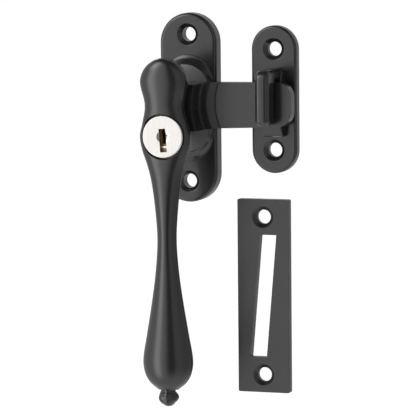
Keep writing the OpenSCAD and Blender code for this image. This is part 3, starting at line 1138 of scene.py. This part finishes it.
@dataclass
class Tongue:
    """The flat tongue with its waisted root and the concave sweep between them."""

    back: float = 8.0
    front: float = 11.4
    low: float = -6.0
    high: float = 8.6
    tip_low: float = -5.0
    tip_high: float = 8.9
    tip_r: float = 4.6
    tip_short: float = 0.5
    root_x: float = 7.3
    root_left: float = -8.0
    waist_r: float = 19.0
    waist_up: float = 2.0
    back_waist: float = 0.6
    ledge: tuple[Flat, ...] = ((0.0, 0.05), (0.12, 0.0), (0.42, -0.06), (0.55, -0.2))
    ledge_w: float = 0.6
    sweep_w: float = 4.3
    sweep_h: float = 4.0
    sweep_turn: float = 60.0
    sweep_steps: int = 12
    arm_steps: int = 6
    levels: int = 36
    soften_r: float = 0.45
    lock_up: float = -7.3
    sleeve_r: float = 2.4
    housing_r: float = 4.6
    housing_low: float = 17.0

    def _wall(self, up: float) -> float:
        """Returns how far the root's waisted side stands out beyond its narrowest."""
        return self.waist_r - math.sqrt(self.waist_r ** 2 - (up - self.waist_up) ** 2)

    def _tip(self, rise: float, reach: float, tall: float) -> float:
        """Finds how far the round-cornered tip reaches.

        Args:
            rise: the height above the tongue's lower edge.
            reach: where the tip ends.
            tall: the tongue's height at the tip.

        Returns:
            The tip's x there.
        """
        near = min(rise, tall - rise)
        if near >= self.tip_r:
            return reach
        return reach - self.tip_r + math.sqrt(max(0.0, self.tip_r ** 2 - (self.tip_r - near) ** 2))

    def ring(self, part: float, reach: float, root_front: float) -> Ring:
        """Draws the tongue's section from above.

        Args:
            part: how far up it is, 0 to 1.
            reach: where the tip ends.
            root_front: the root's front.

        Returns:
            The section's points.
        """
        bulge = self._wall(self.low + (self.high - self.low) * part)
        tip = self._tip(part * (self.tip_high - self.tip_low), reach, self.tip_high - self.tip_low)
        left, wall = self.root_left - bulge * self.back_waist, self.root_x + bulge
        foot = self.front + self.sweep_h
        profile = [(left, self.back), (left, root_front), (wall, root_front)]
        profile += [(wall + out, foot + rise) for out, rise in self.ledge]
        start, turned = wall + self.sweep_w, math.radians(self.sweep_turn)
        across = (self.sweep_w - self.ledge_w) / (1 - math.cos(turned))
        down = (self.sweep_h - 0.01) / math.sin(turned)
        for step in range(1, self.sweep_steps + 1):
            turn = turned * step / self.sweep_steps
            out = self.ledge_w + across * (1 - math.cos(turn))
            profile.append((wall + out, foot - down * math.sin(turn)))
        places = [start + (tip - start) * k / self.arm_steps for k in range(self.arm_steps + 1)]
        profile += [(x, self.front) for x in places[1:]] + [(x, self.back) for x in reversed(places)]
        ring = []
        for x, height in profile:
            along = max(0.0, min(1.0, (x - self.root_x) / (reach - self.root_x)))
            bottom = self.low + (self.tip_low - self.low) * along
            top = self.high + (self.tip_high - self.high) * along
            ring.append((x, bottom + (top - bottom) * part, height))
        return ring

    def build(self, finish: Finish) -> Piece:
        """Builds and mounts the tongue.

        Args:
            finish: its material.

        Returns:
            The finished piece.
        """
        high = node_box("tongue_arm")[1]
        reach = high[0] - self.tip_short
        parts = [(1 - math.cos(math.pi * k / self.levels)) / 2 for k in range(self.levels + 1)]
        piece = Bench.loft("tongue_casting", [self.ring(part, reach, high[2]) for part in parts])
        Bench.soften(piece, self.soften_r, 3, 55)
        sleeve = [(self.sleeve_r, self.back - 2), (self.sleeve_r, high[2] + 2)]
        housing = [(self.housing_r, self.housing_low), (self.housing_r, high[2] + 2)]
        tools = [
            Bench.rod("sleeve_cutter", sleeve, (0, self.lock_up)),
            Bench.rod("housing_cutter", housing, (0, self.lock_up)),
        ]
        Bench.boolean(piece, tools, "DIFFERENCE")
        Bench.smooth(piece, 35)
        Bench.mount(piece, Body.LEVER, Slot.CASTING, finish, ["tongue_arm"])
        return piece


@dataclass
class LockFace:
    """The nickel lock face and the plug behind it, with the tilted keyway and the round dimple."""

    up: float = -7.3
    edge_r: float = 0.35
    back: float = 27.6
    body_r: float = 3.6
    body_low: float = 20.3
    tail_r: float = 2.4
    keyway_w: float = 2.2
    keyway_up: float = 2.5
    keyway_down: float = 4.8
    inner_half: float = 3.0
    tilt: float = 4.1
    dimple_r: float = 2.1
    dimple_depth: float = 0.55
    edge_steps: int = 5
    bowl_steps: int = 8
    soften_r: float = 0.1

    def slot(self, bottom: float, top: float, low: float, high: float) -> Piece:
        """Makes the cutter for the tilted keyway.

        Args:
            bottom: the keyway's lower end, before it is tilted.
            top: its upper end.
            low: the cutter's back.
            high: its front.

        Returns:
            The cutter.
        """
        turn, half = math.radians(self.tilt), self.keyway_w / 2
        corners = [(-half, bottom), (half, bottom), (half, top), (-half, top)]
        cos, sin = math.cos(turn), math.sin(turn)
        outline = [(x * cos - y * sin, x * sin + y * cos) for x, y in corners]
        return Bench.loft("keyway_cutter", [at_height(outline, level, (0, self.up)) for level in (low, high)])

    def build(self, finish: Finish) -> Piece:
        """Builds and mounts the lock face.

        Args:
            finish: its material.

        Returns:
            The finished piece.
        """
        low, high = node_box("lock_plug")
        radius, front = (high[0] - low[0]) / 2, high[2]
        levels = [
            (self.tail_r, low[2]), (self.tail_r, self.body_low), (self.body_r, self.body_low),
            (self.body_r, self.back), (radius, self.back),
        ]
        for step in range(self.edge_steps + 1):
            turn = math.radians(90 * step / self.edge_steps)
            level = front - self.edge_r * (1 - math.sin(turn))
            levels.append((radius - self.edge_r * (1 - math.cos(turn)), level))
        piece = Bench.rod("lock_face", levels, (0, self.up))
        ball_r = (self.dimple_r ** 2 + self.dimple_depth ** 2) / (2 * self.dimple_depth)
        bottom = front - self.dimple_depth
        bowl = []
        for step in range(self.bowl_steps + 1):
            turn = math.radians(180 - 60 * step / self.bowl_steps)
            bowl.append((max(0.01, ball_r * math.sin(turn)), bottom + ball_r + ball_r * math.cos(turn)))
        tools = [Bench.rod("dimple_cutter", bowl, (0, self.up))]
        tools.append(self.slot(-self.keyway_down, self.keyway_up, self.back, front + 1))
        tools.append(self.slot(-self.inner_half, self.inner_half, self.body_low + 0.6, self.back + 0.1))
        Bench.boolean(piece, tools, "DIFFERENCE")
        Bench.soften(piece, self.soften_r, 2, 50)
        Bench.smooth(piece, 40)
        Bench.mount(piece, Body.PLUG, Slot.NICKEL, finish, ["lock_plug"])
        return piece


@dataclass
class Works:
    """The small pieces inside, which keep their CAD shapes and get their finishes."""

    steel: tuple[str, ...] = (
        "pivot_spindle", "tongue_pin", "stop_washer", "bolt_sleeve", "lock_bolt", "bolt_cross_pin",
    )
    dark: tuple[str, ...] = ("grub_screw",)
    sprung: tuple[str, ...] = ("disc_spring", "retaining_ring", "wafer_springs", "plug_clip")
    brass: tuple[str, ...] = ("wafer_1", "wafer_2", "wafer_3", "wafer_4", "wafer_5", "lock_housing")

    def dress(self, frame: dict, steel: Finish, sprung: Finish, brass: Finish, black: Finish) -> None:
        """Gives each carried-over node its finish.

        Args:
            frame: the loaded frame.
            steel: the plated steel.
            sprung: the spring steel.
            brass: the wafers' brass.
            black: the black lacquer.
        """
        plan = ((self.steel, steel), (self.sprung, sprung), (self.brass, brass), (self.dark, black))
        for names, finish in plan:
            for name in names:
                mesh = frame["nodes"][name].data
                mesh.materials.clear()
                mesh.materials.append(finish)
                LOG.info("%s dressed with %s", name, finish.name)


# ---------------------------------------------------------------- studio


@dataclass
class Studio:
    """A pale floor, soft light from the left and a long lens."""

    azimuth: float = 19.488
    elevation: float = 5.939
    roll: float = -0.493
    distance: float = 1088.3
    aim: Flat = (4.571, -32.264)
    lens: float = 296.0
    floor_gap: float = 22.0
    floor_r: float = 9.0
    floor_bright: float = 0.93
    floor_glow: float = 0.55
    studio_strength: float = 5.5
    backdrop: float = 1.12
    above: Flat = (0.6, 0.9)
    ceiling: float = 0.02
    below: Flat = (-0.35, -0.7)
    ground: float = 0.2
    key_place: Point = (-0.9, -0.9, 0.9)
    key_aim: Point = (0.0, 0.0, -0.03)
    key_size: float = 0.8
    key_power: float = 4.0

    def camera(self) -> None:
        """Places the camera."""
        turn, lift, roll = (math.radians(v) for v in (self.azimuth, self.elevation, self.roll))
        back = Vector((math.sin(turn) * math.cos(lift), -math.cos(turn) * math.cos(lift), math.sin(lift)))
        right = Vector((math.cos(turn), math.sin(turn), 0))
        up = back.cross(right)
        across = math.cos(roll) * right + math.sin(roll) * up
        over = back.cross(across)
        target = stand(self.aim[0], self.aim[1], 0)
        data = bpy.data.cameras.new("camera")
        data.lens = self.lens
        data.sensor_width = 36.0
        data.clip_end = 100.0
        camera = bpy.data.objects.new("camera", data)
        bpy.context.scene.collection.objects.link(camera)
        axes = Matrix((across, over, back)).transposed().to_4x4()
        camera.matrix_world = Matrix.Translation(target + back * self.distance * MM) @ axes
        bpy.context.scene.camera = camera

    def floor(self) -> None:
        """Lays the floor below the object."""
        Bench.clear()
        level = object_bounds()[0][2] - self.floor_gap * MM
        bpy.ops.mesh.primitive_circle_add(
            vertices=96, radius=self.floor_r, fill_type="NGON", location=(0, 0, level)
        )
        floor = bpy.context.object
        floor.name = "floor"
        shader = Shader("pale_floor")
        shader.set(Base_Color=(*(self.floor_bright,) * 3, 1), Roughness=0.9, Specular_IOR_Level=0.1)
        shader.set(Emission_Color=(1, 1, 1, 1), Emission_Strength=self.floor_glow)
        floor.data.materials.append(shader.material)
        floor.visible_glossy = False
        floor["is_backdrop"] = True

    def world(self) -> None:
        """Lights everything from a studio with dark sides, and shows the camera plain white."""
        world = bpy.data.worlds.new("studio")
        bpy.context.scene.world = world
        world.use_nodes = True
        wiring = Wiring(world.node_tree)
        wiring.tree.nodes.clear()
        split = wiring.add("SeparateXYZ")
        wiring.put(wiring.add("TexCoord").outputs["Generated"], split, 0)
        forward = wiring.calculate("MULTIPLY", split.outputs["Y"], -1.0)
        bearing = wiring.calculate("ARCTAN2", split.outputs["X"], forward)
        around = self._ramp(wiring, wiring.spread(bearing, 0, 1, -math.pi, math.pi))
        over = wiring.spread(split.outputs["Z"], 0, 1, *self.above)
        under = wiring.spread(split.outputs["Z"], 0, 1, *self.below)
        shade = wiring.tint(under, wiring.tint(over, around, (self.ceiling,) * 3), (self.ground,) * 3)
        studio = wiring.add("Background", Strength=self.studio_strength)
        wiring.put(shade, studio, "Color")
        plain = wiring.add("Background", Color=(1, 1, 1, 1), Strength=self.backdrop)
        mix = wiring.add("MixShader")
        wiring.put(wiring.add("LightPath").outputs["Is Camera Ray"], mix, "Fac")
        wiring.put(studio.outputs[0], mix, 1)
        wiring.put(plain.outputs[0], mix, 2)
        wiring.put(mix.outputs[0], wiring.add("OutputWorld"), "Surface")

    def _ramp(self, wiring: Wiring, place: Socket) -> Socket:
        """Turns a bearing into the surround's brightness.

        Args:
            wiring: the world's wiring.
            place: the bearing, from 0 to 1 round the object.

        Returns:
            The brightness.
        """
        ramp = wiring.add("ValToRGB")
        ramp.color_ramp.interpolation = "EASE"
        stops = self.surround()
        elements = ramp.color_ramp.elements
        elements[0].position, elements[1].position = stops[0][0], stops[-1][0]
        for position, _ in stops[1:-1]:
            elements.new(position)
        for element, (position, value) in zip(elements, stops):
            element.position = position
            element.color = (value, value, value, 1)
        wiring.put(place, ramp, "Fac")
        return ramp.outputs["Color"]

    @staticmethod
    def surround() -> list[Flat]:
        """Returns the brightness of the surround by bearing, front in the middle, as (place, value)."""
        bearings = [
            (-180, 0.09), (-125, 0.13), (-95, 0.15), (-62, 0.18), (-52, 0.24), (-43, 0.6),
            (-31, 0.6), (-23, 0.25), (-12, 0.22), (-5, 0.1), (2, 0.012), (16, 0.012),
            (30, 0.11), (90, 0.08), (135, 0.08), (180, 0.09),
        ]
        return [((bearing + 180) / 360, value) for bearing, value in bearings]

    def key(self) -> None:
        """Hangs the soft key light high at the left."""
        data = bpy.data.lights.new("key", "AREA")
        data.size, data.energy = self.key_size, self.key_power
        lamp = bpy.data.objects.new("key", data)
        lamp.location = self.key_place
        away = Vector(self.key_place) - Vector(self.key_aim)
        lamp.rotation_euler = away.to_track_quat("Z", "Y").to_euler()
        bpy.context.scene.collection.objects.link(lamp)

    def build(self) -> None:
        """Sets up the whole studio."""
        bpy.context.scene.view_settings.view_transform = "Standard"
        self.camera()
        self.floor()
        self.world()
        self.key()


def main() -> None:
    """Builds the fastener's looks around the frame."""
    logging.basicConfig(level=logging.INFO, format="%(name)s %(message)s")
    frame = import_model()
    casting = SatinLacquer("satin_black_casting").make()
    # The boss-top lacquer is painted lighter grey: a painted highlight for the light falling on that top,
    # with its edges lighter still.
    wear_and_painted_highlight = SatinLacquer(
        "painted_highlight_black_land", black=(0.1, 0.1, 0.102), wear_and_painted_highlight=(0.13, 0.13, 0.13), rough_low=0.3, rough_high=0.4
    ).make()
    plate = SatinLacquer("satin_black_plate", skin_scale=420.0, rough_low=0.3, rough_high=0.4).make()
    nickel = BrushedMetal(
        "satin_nickel", (0.66, 0.635, 0.61), (0.58, 0.56, 0.54), 0.2, 0.32, stretch=(1.0, 1.0, 0.08)
    ).make()
    steel = BrushedMetal("plated_steel", (0.6, 0.61, 0.63), (0.45, 0.46, 0.47)).make()
    sprung = BrushedMetal("spring_steel", (0.32, 0.32, 0.34), (0.2, 0.2, 0.22), 0.3, 0.45).make()
    brass = BrushedMetal("wafer_brass", (0.3, 0.19, 0.07), (0.16, 0.1, 0.04), 0.35, 0.5).make()
    Studio().build()
    BasePlate().build(casting, wear_and_painted_highlight)
    HookPlate().build(casting)
    MorticePlate().build(plate)
    Lever().build(casting)
    BallFinial().build(casting)
    Tongue().build(casting)
    LockFace().build(nickel)
    Works().dress(frame, steel, sprung, brass, casting)


if __name__ == "__main__":
    main()
